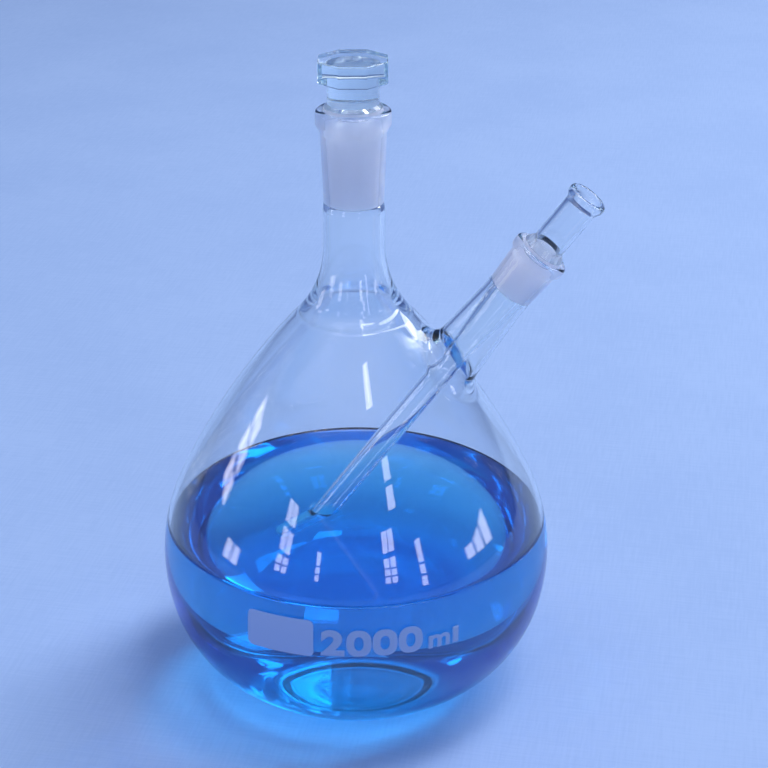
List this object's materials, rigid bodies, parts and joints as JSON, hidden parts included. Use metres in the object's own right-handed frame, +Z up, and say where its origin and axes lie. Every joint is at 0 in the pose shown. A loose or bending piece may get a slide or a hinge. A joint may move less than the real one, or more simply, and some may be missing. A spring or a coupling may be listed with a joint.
{
  "type": "two neck flask",
  "caption": "Pear shaped glass flask with a flat foot, an upright stoppered neck, a slanting side neck that holds a long thermometer pocket, and blue solution inside.",
  "frame": {"origin": "centre of the flat foot, on the axis of the centre neck, at the level that the flask stands on", "axes": "+Z up along the centre neck's axis; +X towards the side neck, whose axis lies in the XZ plane"},
  "size_m": [0.1896, 0.1718, 0.2855],
  "materials": {
    "flask_glass": "clear, fire polished, frosted where the sockets are ground",
    "stopper_glass": "clear pressed head, frosted ground plug",
    "pocket_glass": "clear tube, frosted ground cone",
    "blue_solution": "clear blue liquid with a still surface",
    "white_enamel": "fired white enamel print on the flask's wall"
  },
  "bodies": {
    "flask_body": {"flask": "flask_glass", "blue_solution": "blue_solution"},
    "stopper_body": {"stopper": "stopper_glass"},
    "pocket_body": {"thermometer_pocket": "pocket_glass"}
  },
  "joints": [
    {"name": "stopper_lift", "type": "slide", "parent": "flask_body", "child": "stopper_body", "axis": [0, 0, 1], "range_m": [0, 0.05]},
    {"name": "pocket_draw", "type": "slide", "parent": "flask_body", "child": "pocket_body", "axis": [0.5821, 0, 0.8131], "range_m": [0, 0.21]}
  ]
}
